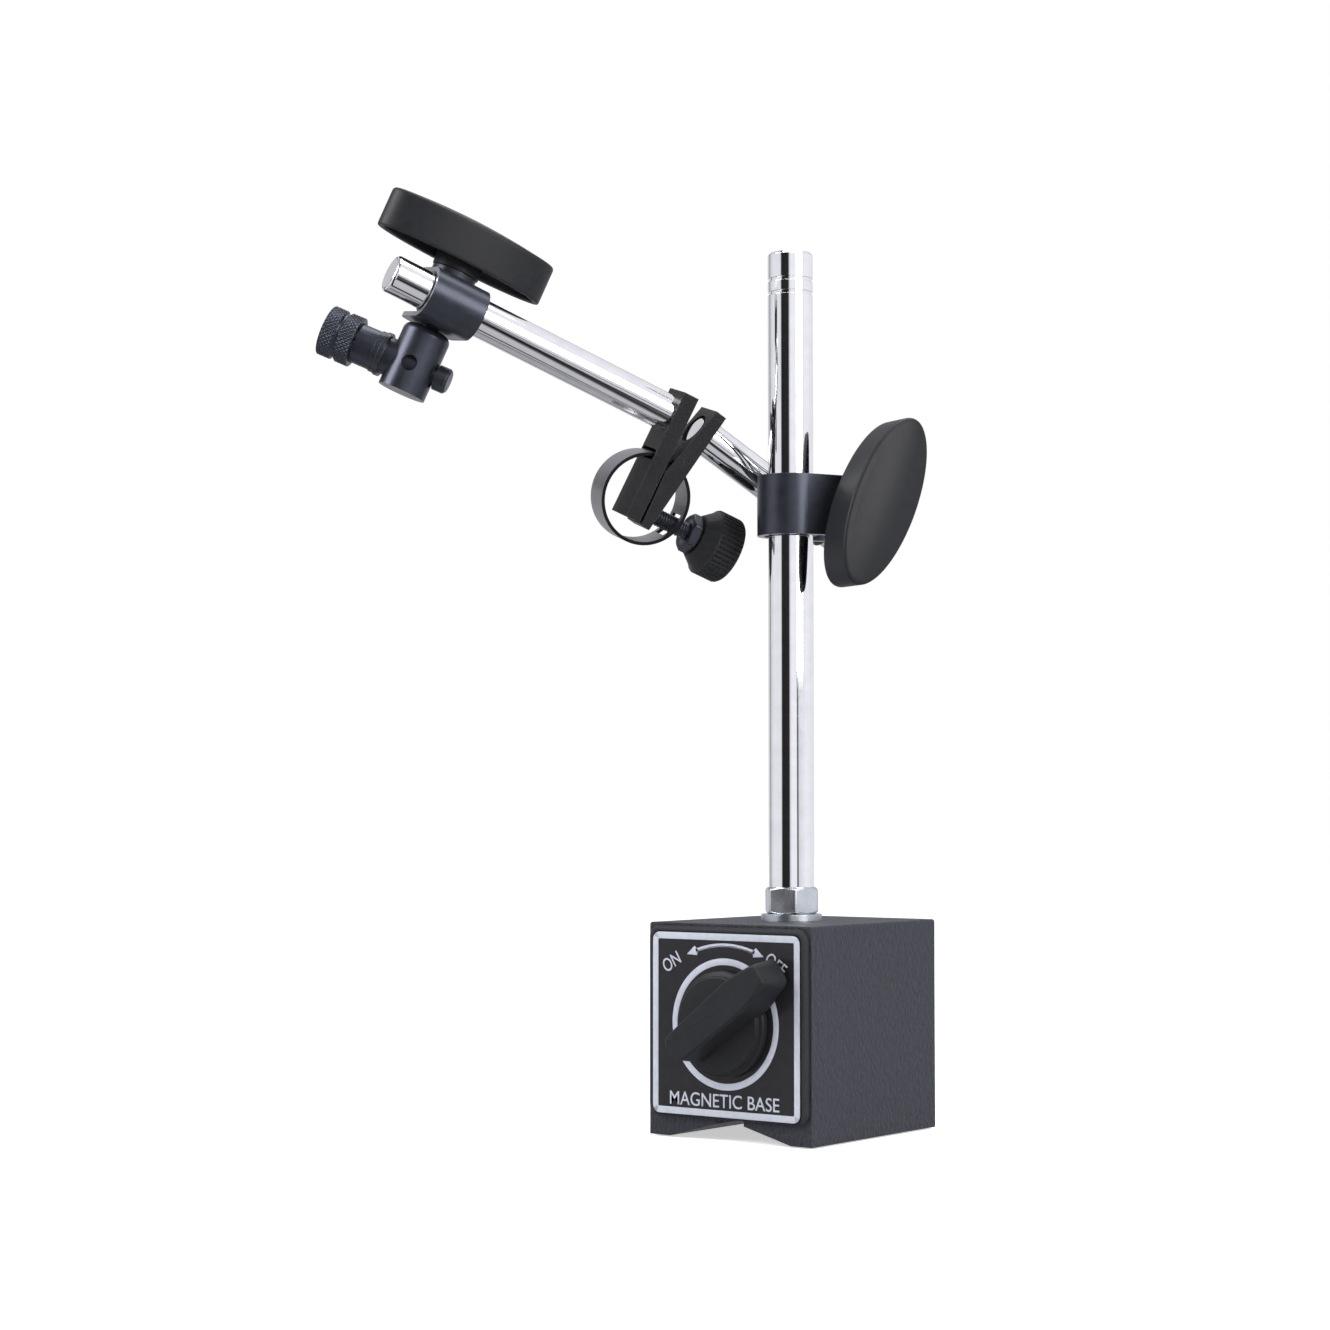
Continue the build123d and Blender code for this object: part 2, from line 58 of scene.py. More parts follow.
# ---- Camera --------------------------------------------------------------------------
# Eye level with the lower column, turned 37 degrees about it and tipped up a little.
# The long lens keeps the base's edges nearly parallel.
lens = bpy.data.cameras.new("stand_camera")
lens.lens, lens.sensor_width = 75.79, 36.0
lens.clip_start, lens.clip_end = 0.01, 20.0
camera = bpy.data.objects.new("stand_camera", lens)
camera.location = (0.42284, -0.60919, 0.08668)
camera.rotation_euler = Euler(np.radians([92.764, 0.0, 37.345]))
bpy.context.scene.collection.objects.link(camera)
bpy.context.scene.camera = camera
bpy.context.scene.view_settings.view_transform = "Standard"


# ---- Studio --------------------------------------------------------------------------
# A pale floor in a white surround, with soft boxes above and beside the stand.  Glossy
# rays see dark bands in the surround, which the chrome needs to look like chrome.
def socket(node, name, value):
    """Sets one input of a shader node."""
    node.inputs[name].default_value = value


def link(tree, start, out, end, into):
    """Joins an output of one node to an input of another."""
    tree.links.new(start.outputs[out], end.inputs[into])


def math(tree, operation, first, second=0.0, clamp=False):
    """Math node on two values or node outputs; returns its output."""
    node = tree.nodes.new("ShaderNodeMath")
    node.operation, node.use_clamp = operation, clamp
    for into, value in zip(node.inputs, (first, second)):
        if isinstance(value, (int, float)):
            into.default_value = value
        else:
            tree.links.new(value, into)
    return node.outputs[0]


def shades(tree, value, stops):
    """Colour ramp of cool greys over a value; stops are (place, shade) pairs."""
    node = tree.nodes.new("ShaderNodeValToRGB")
    tree.links.new(value, node.inputs["Fac"])
    ramp, stops = node.color_ramp, sorted(stops)
    for at, shade in stops[1:-1]:
        ramp.elements.new(at).color = (shade, shade, shade * 1.03, 1)
    for element, (at, shade) in zip((ramp.elements[0], ramp.elements[-1]), (stops[0], stops[-1])):
        element.position = at
        element.color = (shade, shade, shade * 1.03, 1)
    return node.outputs["Color"]


def upright_bands(tree, direction):
    """Shade by azimuth: the stops are degrees turned from the camera's side of the stand."""
    camera_azimuth = -55.2
    stops = [(-139, 0.55), (-126, 0.10), (-112, 0.62), (-96, 0.72), (-52, 0.70), (-46, 0.015),
             (-9, 0.02), (-5, 0.62), (4, 0.80), (27, 0.80), (31, 0.05), (35, 0.06), (39, 0.62),
             (80, 0.80), (150, 0.70)]
    azimuth = math(tree, "ARCTAN2", direction.outputs["Y"], direction.outputs["X"])
    turn = tree.nodes.new("ShaderNodeMapRange")
    socket(turn, "From Min", -np.pi)
    socket(turn, "From Max", np.pi)
    tree.links.new(azimuth, turn.inputs["Value"])
    return shades(tree, turn.outputs["Result"],
                  [(((camera_azimuth + degrees + 180) % 360) / 360, shade) for degrees, shade in stops])


def level_bands(tree, direction):
    """Shade by height: the stops are the sine of the elevation, from -1 to 1."""
    stops = [(-1.0, 0.55), (-0.62, 0.6), (-0.60, 0.08), (-0.52, 0.08), (-0.50, 0.85), (-0.34, 0.85),
             (-0.32, 0.1), (-0.29, 0.1), (-0.27, 1.0), (0.225, 1.0), (0.24, 0.06), (0.29, 0.06),
             (0.305, 0.9), (0.37, 0.9), (0.385, 0.08), (0.42, 0.08), (0.44, 1.0), (0.86, 1.0),
             (0.90, 0.12), (1.0, 0.12)]
    rise = tree.nodes.new("ShaderNodeMapRange")
    socket(rise, "From Min", -1.0)
    link(tree, direction, "Z", rise, "Value")
    return shades(tree, rise.outputs["Result"], [((sine + 1) / 2, shade) for sine, shade in stops])


def surround():
    """White surround, half as bright to diffuse rays; glossy rays see the bands instead."""
    world = bpy.data.worlds.new("studio_surround")
    bpy.context.scene.world = world
    world.use_nodes = True
    tree = world.node_tree
    tree.nodes.clear()
    where, direction = tree.nodes.new("ShaderNodeTexCoord"), tree.nodes.new("ShaderNodeSeparateXYZ")
    link(tree, where, "Generated", direction, "Vector")
    bands = tree.nodes.new("ShaderNodeMix")
    bands.data_type, bands.blend_type = "RGBA", "MULTIPLY"
    socket(bands, "Factor", 1.0)
    tree.links.new(upright_bands(tree, direction), bands.inputs["A"])
    tree.links.new(level_bands(tree, direction), bands.inputs["B"])
    path = tree.nodes.new("ShaderNodeLightPath")
    white, banded = tree.nodes.new("ShaderNodeBackground"), tree.nodes.new("ShaderNodeBackground")
    socket(white, "Color", (1.0, 1.0, 1.0, 1))
    dim = math(tree, "MULTIPLY", path.outputs["Is Diffuse Ray"], 0.5)
    tree.links.new(math(tree, "SUBTRACT", 1.0, dim), white.inputs["Strength"])
    link(tree, bands, "Result", banded, "Color")
    socket(banded, "Strength", 1.15)
    mix, out = tree.nodes.new("ShaderNodeMixShader"), tree.nodes.new("ShaderNodeOutputWorld")
    link(tree, path, "Is Glossy Ray", mix, "Fac")
    tree.links.new(white.outputs[0], mix.inputs[1])
    tree.links.new(banded.outputs[0], mix.inputs[2])
    link(tree, mix, "Shader", out, "Surface")


def soft_box(name, place, aim, size, power):
    """Square area light of a given size in metres, pointed from place at aim."""
    lamp = bpy.data.lights.new(name, "AREA")
    lamp.energy, lamp.size = power, size
    box = bpy.data.objects.new(name, lamp)
    box.location = place
    ray = box.location - type(box.location)(aim)
    box.rotation_euler = ray.to_track_quat("Z", "Y").to_euler()
    bpy.context.scene.collection.objects.link(box)


surround()
soft_box("key_box", (-0.55, -0.75, 0.75), (0, 0, 0.12), 0.55, 9.0)
soft_box("fill_box", (0.95, -0.15, 0.45), (0, 0, 0.08), 0.60, 7.0)
soft_box("top_box", (0.05, 0.15, 1.05), (0, 0, 0.12), 0.70, 8.0)


def material(name, color, roughness, metallic=0.0):
    """New node material with these values on the shader's own sockets."""
    finish = bpy.data.materials.new(name)
    finish.use_nodes = True
    shader = finish.node_tree.nodes["Principled BSDF"]
    socket(shader, "Base Color", (*color, 1))
    socket(shader, "Roughness", roughness)
    socket(shader, "Metallic", metallic)
    return finish


def floor_finish():
    """Pale floor that glows to the camera; glossy rays and views from below pass through it."""
    finish = material("pale_floor", (0.95, 0.95, 0.955), 0.7)
    tree = finish.node_tree
    shader = tree.nodes["Principled BSDF"]
    path, face = tree.nodes.new("ShaderNodeLightPath"), tree.nodes.new("ShaderNodeNewGeometry")
    clear, mix = tree.nodes.new("ShaderNodeBsdfTransparent"), tree.nodes.new("ShaderNodeMixShader")
    socket(shader, "Emission Color", (1.0, 1.0, 1.0, 1))
    glow = math(tree, "MULTIPLY", path.outputs["Is Camera Ray"], 0.54)
    tree.links.new(glow, shader.inputs["Emission Strength"])
    through = math(tree, "MAXIMUM", path.outputs["Is Glossy Ray"], face.outputs["Backfacing"])
    tree.links.new(through, mix.inputs["Fac"])
    tree.links.new(shader.outputs[0], mix.inputs[1])
    tree.links.new(clear.outputs[0], mix.inputs[2])
    link(tree, mix, "Shader", tree.nodes["Material Output"], "Surface")
    return finish


floor_size, dip = 3.0, -0.0004
floor_mesh = bpy.data.meshes.new("studio_floor")
corners = [(x * floor_size, y * floor_size, dip) for x, y in ((-1, -1), (1, -1), (1, 1), (-1, 1))]
floor_mesh.from_pydata(corners, [], [(0, 1, 2, 3)])
floor_mesh.materials.append(floor_finish())
studio_floor = bpy.data.objects.new("studio_floor", floor_mesh)
bpy.context.scene.collection.objects.link(studio_floor)


# ---- Pole blocks and spacer ----------------------------------------------------------
# Two mild steel blocks with a brass strip brazed between them.  The whole base is sprayed
# with a blue-black wrinkle paint that shrinks into soft leathery worms.
def group(name, inputs, outputs):
    """Empty shader node group with float inputs (name: value) and outputs (name: socket type)."""
    tree = bpy.data.node_groups.new(name, "ShaderNodeTree")
    for label, value in inputs.items():
        entry = tree.interface.new_socket(label, in_out="INPUT", socket_type="NodeSocketFloat")
        entry.default_value = value
    for label, kind in outputs.items():
        tree.interface.new_socket(label, in_out="OUTPUT", socket_type=kind)
    return tree, tree.nodes.new("NodeGroupInput"), tree.nodes.new("NodeGroupOutput")


def noise(tree, scale, detail=3.0):
    """Noise on Object coordinates; scale is a number or an output, in cells per metre."""
    where, pattern = tree.nodes.new("ShaderNodeTexCoord"), tree.nodes.new("ShaderNodeTexNoise")
    link(tree, where, "Object", pattern, "Vector")
    socket(pattern, "Detail", detail)
    if isinstance(scale, (int, float)):
        socket(pattern, "Scale", scale)
    else:
        tree.links.new(scale, pattern.inputs["Scale"])
    return pattern.outputs["Fac"]


def edge_wear():
    """Wear: how far a rounded edge normal leans from the true one, broken up by noise."""
    tree, given, result = group("edge_wear", {"Radius": 0.0003, "Amount": 4.0},
                                {"Wear": "NodeSocketFloat"})
    soft, true = tree.nodes.new("ShaderNodeBevel"), tree.nodes.new("ShaderNodeNewGeometry")
    link(tree, given, "Radius", soft, "Radius")
    lean = tree.nodes.new("ShaderNodeVectorMath")
    lean.operation = "DOT_PRODUCT"
    tree.links.new(soft.outputs["Normal"], lean.inputs[0])
    tree.links.new(true.outputs["Normal"], lean.inputs[1])
    gap = math(tree, "SUBTRACT", 1.0, lean.outputs["Value"])
    patchy = math(tree, "MULTIPLY", gap, math(tree, "SUBTRACT", noise(tree, 1400.0), 0.25))
    worn = math(tree, "MULTIPLY", patchy, given.outputs["Amount"], clamp=True)
    tree.links.new(worn, result.inputs["Wear"])
    return tree


def surface_grain():
    """Normal of a grainy skin with softened edges, and a slow mottle from 0 to 1."""
    tree, given, result = group("surface_grain", {"Scale": 2500.0, "Depth": 0.00002, "Edge": 0.0002},
                                {"Normal": "NodeSocketVector", "Mottle": "NodeSocketFloat"})
    soft, bump = tree.nodes.new("ShaderNodeBevel"), tree.nodes.new("ShaderNodeBump")
    link(tree, given, "Edge", soft, "Radius")
    link(tree, soft, "Normal", bump, "Normal")
    link(tree, given, "Depth", bump, "Distance")
    tree.links.new(noise(tree, given.outputs["Scale"]), bump.inputs["Height"])
    link(tree, bump, "Normal", result, "Normal")
    slow = math(tree, "MULTIPLY", given.outputs["Scale"], 0.12)
    tree.links.new(noise(tree, slow, 5.0), result.inputs["Mottle"])
    return tree


WEAR, GRAIN = edge_wear(), surface_grain()


def blend_color(tree, mask, under, over):
    """Colour that goes from under to over as mask goes from 0 to 1."""
    mix = tree.nodes.new("ShaderNodeMix")
    mix.data_type = "RGBA"
    tree.links.new(mask, mix.inputs["Factor"])
    for into, value in ((mix.inputs["A"], under), (mix.inputs["B"], over)):
        if isinstance(value, tuple):
            into.default_value = (*value, 1)
        else:
            tree.links.new(value, into)
    return mix.outputs["Result"]


def skinned(name, color, worn, roughness, metallic, grain, wear, spread=0.08, edge=0.0002):
    """Material with surface grain, a mottled roughness and colour, and bare worn edges."""
    finish = material(name, color, roughness, metallic)
    tree = finish.node_tree
    shader = tree.nodes["Principled BSDF"]
    skin_node, wear_node = tree.nodes.new("ShaderNodeGroup"), tree.nodes.new("ShaderNodeGroup")
    skin_node.node_tree, wear_node.node_tree = GRAIN, WEAR
    socket(shader, "Specular IOR Level", 0.22)
    socket(skin_node, "Scale", grain[0])
    socket(skin_node, "Depth", grain[1])
    socket(skin_node, "Edge", edge)
    socket(wear_node, "Radius", edge * 1.5)
    socket(wear_node, "Amount", wear)
    link(tree, skin_node, "Normal", shader, "Normal")
    mottle = skin_node.outputs["Mottle"]
    swing = math(tree, "MULTIPLY", math(tree, "SUBTRACT", mottle, 0.5), 2 * spread)
    tree.links.new(math(tree, "ADD", swing, roughness, clamp=True), shader.inputs["Roughness"])
    paler = tuple(min(1.0, c * 1.35 + 0.004) for c in color)
    mottled = blend_color(tree, mottle, color, paler)
    coated = blend_color(tree, wear_node.outputs["Wear"], mottled, worn)
    tree.links.new(coated, shader.inputs["Base Color"])
    return finish


def facing(tree, axis, least):
    """Mask of the faces whose own normal is within a cone of axis, either way along it."""
    where, along = tree.nodes.new("ShaderNodeTexCoord"), tree.nodes.new("ShaderNodeVectorMath")
    along.operation = "DOT_PRODUCT"
    link(tree, where, "Normal", along, "Vector")
    along.inputs[1].default_value = axis
    size = math(tree, "ABSOLUTE", along.outputs["Value"])
    return math(tree, "GREATER_THAN", size, least)


def wrinkle_paint():
    """Blue-black paint; Voronoi cells bent by noise make the worms of its relief."""
    finish = skinned("wrinkle_paint", (0.021, 0.023, 0.030), (0.10, 0.105, 0.12), 0.46, 0.0,
                     (4500.0, 0.00001), 3.0, 0.10, 0.0005)
    tree = finish.node_tree
    shader, skin_node = tree.nodes["Principled BSDF"], tree.nodes["Group"]
    where, stretch = tree.nodes.new("ShaderNodeTexCoord"), tree.nodes.new("ShaderNodeMapping")
    socket(stretch, "Scale", (1.0, 1.0, 0.62))
    link(tree, where, "Object", stretch, "Vector")
    bend = tree.nodes.new("ShaderNodeTexNoise")
    socket(bend, "Scale", 900.0)
    link(tree, stretch, "Vector", bend, "Vector")
    bent = tree.nodes.new("ShaderNodeMix")
    bent.data_type = "VECTOR"
    socket(bent, "Factor", 0.0011)
    tree.links.new(stretch.outputs["Vector"], bent.inputs[4])
    tree.links.new(bend.outputs["Color"], bent.inputs[5])
    worms = tree.nodes.new("ShaderNodeTexVoronoi")
    worms.feature = "SMOOTH_F1"
    socket(worms, "Scale", 1150.0)
    socket(worms, "Smoothness", 0.5)
    tree.links.new(bent.outputs[1], worms.inputs["Vector"])
    relief = tree.nodes.new("ShaderNodeBump")
    socket(relief, "Distance", 0.00030)
    relief.invert = True
    link(tree, worms, "Distance", relief, "Height")
    link(tree, skin_node, "Normal", relief, "Normal")
    link(tree, relief, "Normal", shader, "Normal")
    return finish


def repaint(finish, *names):
    """Gives CAD nodes a finish of the scene's own."""
    for name in names:
        NODES[name].data.materials.clear()
        NODES[name].data.materials.append(finish)


repaint(wrinkle_paint(), "pole_block_left", "pole_block_right", "pole_spacer")


# ---- Rotor, its bearings and the rear cover --------------------------------------------
# A ferrite cylinder magnetised across its width turns in the bore on a steel shaft.  An
# aged bronze bush closes the front, a moulded cap the back, and a sprung ball marks ON and OFF.
DARK_MOULDING = skinned("dark_moulding", (0.016, 0.017, 0.020), (0.06, 0.06, 0.065), 0.48, 0.0,
                        (5200.0, 0.000012), 2.0)
BARE_STEEL = skinned("bare_steel", (0.42, 0.42, 0.44), (0.7, 0.7, 0.72), 0.30, 1.0,
                     (3800.0, 0.000006), 2.0)
BRONZE = skinned("bronze", (0.10, 0.080, 0.062), (0.3, 0.24, 0.17), 0.40, 1.0, (3000.0, 0.000008), 2.0)
FERRITE = skinned("ferrite", (0.035, 0.034, 0.036), (0.10, 0.10, 0.11), 0.55, 0.2,
                  (2600.0, 0.00002), 1.0)
repaint(DARK_MOULDING, "rear_cover", "label_bezel")
repaint(BARE_STEEL, "rotor_shaft", "detent_ball", "detent_spring", "bezel_screws")
repaint(BRONZE, "front_bush", "column_liner", "arm_liner", "eye_bush")
repaint(FERRITE, "rotor_magnet")


# ---- Label plate and its print ---------------------------------------------------------
# An aluminium plate lacquered gloss black inside the moulded bezel.  Silver ink makes its
# border, the ring round the switch, the arrow over it and the words.
def local(origin, z, x):
    """Frame of a piece: its origin in metres and a matrix whose columns are x, z cross x and z."""
    z = np.array(z, float) / np.linalg.norm(z)
    x = np.array(x, float)
    x -= z * (x @ z)
    x /= np.linalg.norm(x)
    return np.array(origin, float), np.stack([x, np.cross(z, x), z], axis=1)


def grid(points, around=True, along=False):
    """Quads of points[i, j]; around joins the last column to the first, along the last row."""
    rows, columns = points.shape[:2]
    index = np.arange(rows * columns).reshape(rows, columns)
    low, high = index[:, :-1], index[:, 1:]
    if around:
        low, high = index, np.roll(index, -1, axis=1)
    start, end = slice(None, -1), slice(1, None)
    quads = np.stack([low[start], high[start], high[end], low[end]], axis=-1).reshape(-1, 4)
    if along:
        last = np.stack([low[-1], high[-1], high[0], low[0]], axis=-1)
        quads = np.concatenate([quads, last])
    return quads, index


def skin(name, rings, place, finish, body, slot, around=True, along=False, caps=True):
    """Smooth piece through rings[i, j]: i runs along the piece, j anticlockwise round it."""
    quads, index = grid(rings, around, along)
    faces = quads.tolist()
    if caps and not along:
        faces += [index[0][::-1].tolist(), index[-1].tolist()]
    origin, turn = place
    points = origin + MM * rings.reshape(-1, 3) @ turn.T
    mesh = bpy.data.meshes.new(name)
    mesh.from_pydata(points.tolist(), [], faces)
    mesh.polygons.foreach_set("use_smooth", np.ones(len(faces), bool))
    mesh.materials.append(finish)
    piece = bpy.data.objects.new(name, mesh)
    bpy.context.scene.collection.objects.link(piece)
    even = piece.modifiers.new("even_normals", "WEIGHTED_NORMAL")
    even.keep_sharp = True
    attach(piece, body)
    return piece


def softened(corners, cut, steps=5, closed=True):
    """Each corner of a 2-D line becomes a quadratic curve from cut before it to cut after it."""
    p = np.asarray(corners, float)
    cut = np.broadcast_to(np.asarray(cut, float), len(p))[:, None]

    def toward(other):
        """Point on the way to the other corner, at most 0.48 of the way."""
        way = other - p
        size = np.linalg.norm(way, axis=1, keepdims=True)
        return p + way / size * np.minimum(cut, 0.48 * size)

    a, b = toward(np.roll(p, 1, 0)), toward(np.roll(p, -1, 0))
    t = np.linspace(0, 1, steps)[None, :, None]
    arcs = (1 - t) ** 2 * a[:, None] + 2 * t * (1 - t) * p[:, None] + t ** 2 * b[:, None]
    if closed:
        return arcs.reshape(-1, 2)
    return np.concatenate([p[:1], arcs[1:-1].reshape(-1, 2), p[-1:]])


def moulded(outline, levels):
    """Rings of an outline pulled in by levels[:, 0] along its normals, at heights levels[:, 1]."""
    edge = np.roll(outline, -1, 0) - np.roll(outline, 1, 0)
    normal = np.stack([edge[:, 1], -edge[:, 0]], axis=1)
    normal /= np.linalg.norm(normal, axis=1, keepdims=True)
    inset, height = np.asarray(levels, float).T
    flat = outline[None] - inset[:, None, None] * normal[None]
    rise = np.broadcast_to(height[:, None, None], flat.shape[:2] + (1,))
    return np.concatenate([flat, rise], axis=2)


def box_outline(width, height, radius, steps=7):
    """Rectangle with rounded corners, anticlockwise from its lower left corner."""
    x, y = width / 2, height / 2
    return softened([(-x, -y), (x, -y), (x, y), (-x, y)], radius, steps)


plate_low, plate_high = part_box("label_plate")
plate_face = np.array([(plate_low.x + plate_high.x) / 2, plate_low.y, (plate_low.z + plate_high.z) / 2])
plate_size = np.array([plate_high.x - plate_low.x, plate_high.z - plate_low.z]) / MM
PLATE = local(plate_face, (0, -1, 0), (1, 0, 0))
switch_centre = np.array(JOINT["switch_turn"]["pos_m"])
switch_rise = (switch_centre[2] - plate_face[2]) / MM
ink_height = 0.05
SILVER_INK = skinned("silver_ink", (0.40, 0.42, 0.48), (0.7, 0.7, 0.75), 0.38, 0.25,
                     (6000.0, 0.000004), 0.5)
GLOSS_BLACK = skinned("gloss_black", (0.010, 0.010, 0.012), (0.05, 0.05, 0.05), 0.20, 0.0,
                      (3500.0, 0.000002), 1.0, 0.05)
repaint(GLOSS_BLACK, "label_plate")


def inked(name, rings, **how):
    """A line of ink that lies on the plate."""
    return skin(name, rings, PLATE, SILVER_INK, "base", "plate_print", **how)


def frame_line(outline, width):
    """Flat closed line: its section runs up outside, across the top and down inside."""
    return moulded(outline, [(0, 0), (0, ink_height), (width, ink_height), (width, 0)])


border_inset, border_width, ring_radius, ring_width = 0.12, 1.75, 16.75, 1.7
border = box_outline(plate_size[0] - 2 * border_inset, plate_size[1] - 2 * border_inset, 2.4, 9)
inked("print_border", frame_line(border, border_width), along=True)
around_ring = np.linspace(0, 2 * np.pi, 128, endpoint=False)
ring = ring_radius * np.stack([np.cos(around_ring), np.sin(around_ring)], axis=1) + (0, switch_rise)
inked("print_ring", frame_line(ring, ring_width), along=True)

arc_radius, arc_half, arc_top, arc_width = 27.5, np.radians(19.7), 20.4, 0.95
sweep = np.linspace(arc_half, -arc_half, 40)
outer, inner = arc_radius + arc_width / 2, arc_radius - arc_width / 2
radial = np.array([[inner, inner, outer, outer]])
ink_rise = np.broadcast_to([[0, ink_height, ink_height, 0]], (len(sweep), 4))
arc = np.stack([radial * np.sin(sweep)[:, None],
                arc_top - arc_radius + radial * np.cos(sweep)[:, None], ink_rise], axis=2)
inked("print_arc", arc[::-1])
head = np.array([(0, 1.25), (-0.75, 0), (0, -1.25), (3.0, 0)])
for side, name in ((-1, "print_arrow_left"), (1, "print_arrow_right")):
    lean = arc_half * side
    along_arc = np.array([np.cos(lean) * side, -np.sin(lean) * side])
    across_arc = np.array([-along_arc[1], along_arc[0]])
    root = np.array([arc_radius * np.sin(lean), arc_top - arc_radius + arc_radius * np.cos(lean)])
    points = root + head[:, :1] * along_arc + head[:, 1:] * across_arc
    inked(name, moulded(points, [(0, 0), (0, ink_height)]))


def word(name, text, centre, size, squeeze, tilt):
    """Letters made a mesh, centred, squeezed, turned by tilt degrees and laid on the plate."""
    curve = bpy.data.curves.new(name, "FONT")
    curve.body, curve.size, curve.extrude = text, size, ink_height / 2
    curve.align_x, curve.align_y = "CENTER", "CENTER"
    curve.offset = 0.02
    draft = bpy.data.objects.new(name + "_draft", curve)
    bpy.context.scene.collection.objects.link(draft)
    bpy.context.view_layer.update()
    mesh = bpy.data.meshes.new_from_object(draft)
    bpy.data.objects.remove(draft)
    co = np.empty(len(mesh.vertices) * 3)
    mesh.vertices.foreach_get("co", co)
    co = co.reshape(-1, 3) * (squeeze, 1, 1)
    a = np.radians(tilt)
    turn = np.array([[np.cos(a), -np.sin(a)], [np.sin(a), np.cos(a)]])
    co[:, :2] = co[:, :2] @ turn.T + centre
    co[:, 2] += ink_height / 2
    mesh.vertices.foreach_set("co", (PLATE[0] + MM * co @ PLATE[1].T).ravel())
    mesh.materials.clear()
    mesh.materials.append(SILVER_INK)
    piece = bpy.data.objects.new(name, mesh)
    bpy.context.scene.collection.objects.link(piece)
    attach(piece, "base")


letter_size = 4.9
word("print_on", "ON", (-17.0, 15.5), letter_size, 0.78, 32)
word("print_off", "OFF", (15.7, 15.9), letter_size, 0.78, -34)
word("print_title", "MAGNETIC BASE", (-0.5, -19.4), letter_size, 0.95, 0)


# ---- Switch knob -----------------------------------------------------------------------
# Matte moulding on the rotor's shaft: a stepped dial with a bar grip across it.  The grip
# tapers to a blunt pointer that overhangs the dial, and its other end is cut on the slant.
def turned(profile, count=96):
    """Rings of a profile of (radius, height) turned about the local Z axis."""
    radius, height = np.asarray(profile, float).T
    turn = np.linspace(0, 2 * np.pi, count, endpoint=False)
    shape = (len(radius), count)
    return np.stack([radius[:, None] * np.cos(turn), radius[:, None] * np.sin(turn),
                     np.broadcast_to(height[:, None], shape)], axis=2)


MATTE_PLASTIC = skinned("matte_plastic", (0.009, 0.0095, 0.0115), (0.07, 0.072, 0.08), 0.44, 0.0,
                        (4200.0, 0.000022), 2.5, 0.08, 0.0003)
grip_angle, dial_gap = np.radians(38.0), 0.0005
dial_base = np.array([switch_centre[0], plate_face[1] - dial_gap, switch_centre[2]])
SWITCH = local(dial_base, (0, -1, 0), (np.cos(grip_angle), 0, np.sin(grip_angle)))
dial = softened([(4.2, 0), (13.6, 0), (13.6, 1.9), (12.3, 2.3), (12.3, 3.3), (2.0, 3.5)],
                [0, 0.2, 0.5, 0.3, 0.5, 0], closed=False)
dial_piece = skin("switch_dial", turned(dial), SWITCH, MATTE_PLASTIC, "switch", "switch_plastic")
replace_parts(dial_piece, "switch_knob")
grip = softened([(-10.8, -4.8), (14.0, -5.8), (24.0, -3.8), (24.0, 3.8), (14.0, 5.8),
                 (-11.8, 5.4), (-13.4, 1.4)], [2.4, 3.5, 2.2, 2.2, 3.5, 2.2, 2.2], 7)
grip_levels = softened([(0.0, 1.5), (0.0, 2.0), (1.1, 10.3), (1.8, 10.75)], [0, 0.3, 0.6, 0], 7,
                       closed=False)
skin("switch_grip", moulded(grip, grip_levels), SWITCH, MATTE_PLASTIC, "switch", "switch_plastic")


# ---- Column, its washer and its nut ------------------------------------------------------
# A ground bar, hard chrome plated, with two grooves turned near its top.  Its stud screws
# in the base and a bright zinc nut locks it over a washer.
CHROME = skinned("chrome", (0.80, 0.81, 0.83), (0.6, 0.6, 0.62), 0.045, 1.0, (2200.0, 0.0000004), 0.6, 0.03)
ZINC = skinned("zinc", (0.50, 0.52, 0.55), (0.85, 0.85, 0.86), 0.27, 1.0, (1500.0, 0.00001), 2.0, 0.14)
repaint(CHROME, "column", "rear_rod", "front_rod")
repaint(ZINC, "column_washer")
nut_low, nut_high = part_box("column_nut")
nut_height, nut_flat, nut_turn = (nut_high.z - nut_low.z) / MM, 6.5, np.radians(-17.2)
NUT = local((0, 0, nut_low.z), UP, (np.cos(nut_turn), np.sin(nut_turn), 0))


def hexagon_nut(flat, height, bore, count=96):
    """Rings of a nut: the hexagon's radius flat / cos(a), cut by a 30 degree cone at both ends."""
    turn = np.linspace(0, 2 * np.pi, count, endpoint=False)
    sector = (turn + np.pi / 6) % (np.pi / 3) - np.pi / 6
    side = flat / np.cos(sector)
    corner, face_radius, slope = flat / np.cos(np.pi / 6), flat * 0.96, 0.5774
    steps = np.array([0.0, 0.25, 0.5, 0.75, 1.0]) * (corner - face_radius) * slope
    low = np.concatenate([steps, height - steps[::-1]])
    cone = np.minimum(face_radius + np.minimum(low, height - low) / slope, corner)
    radius = np.minimum(side[None], cone[:, None])
    bore_row = np.full((1, count), bore)
    radius = np.concatenate([bore_row, radius, bore_row])
    rise = np.concatenate([[0.0], low, [height]])
    return np.stack([radius * np.cos(turn), radius * np.sin(turn),
                     np.broadcast_to(rise[:, None], radius.shape)], axis=2)


nut_rings = hexagon_nut(nut_flat, nut_height, 4.3)
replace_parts(skin("column_hex_nut", nut_rings, NUT, ZINC, "base", "zinc_plate", along=True), "column_nut")


# ---- Column clamp ------------------------------------------------------------------------
# Spring steel strip bent to a U round a bronze liner, chemically blackened after cutting,
# so its long edges are paler.  The eye bolt through its legs squeezes it on the column.
def blackened(name):
    """Chemically blackened steel with a soft sheen."""
    return skinned(name, (0.040, 0.043, 0.056), (0.30, 0.31, 0.34), 0.33, 0.75,
                   (2600.0, 0.000006), 3.0, 0.10)


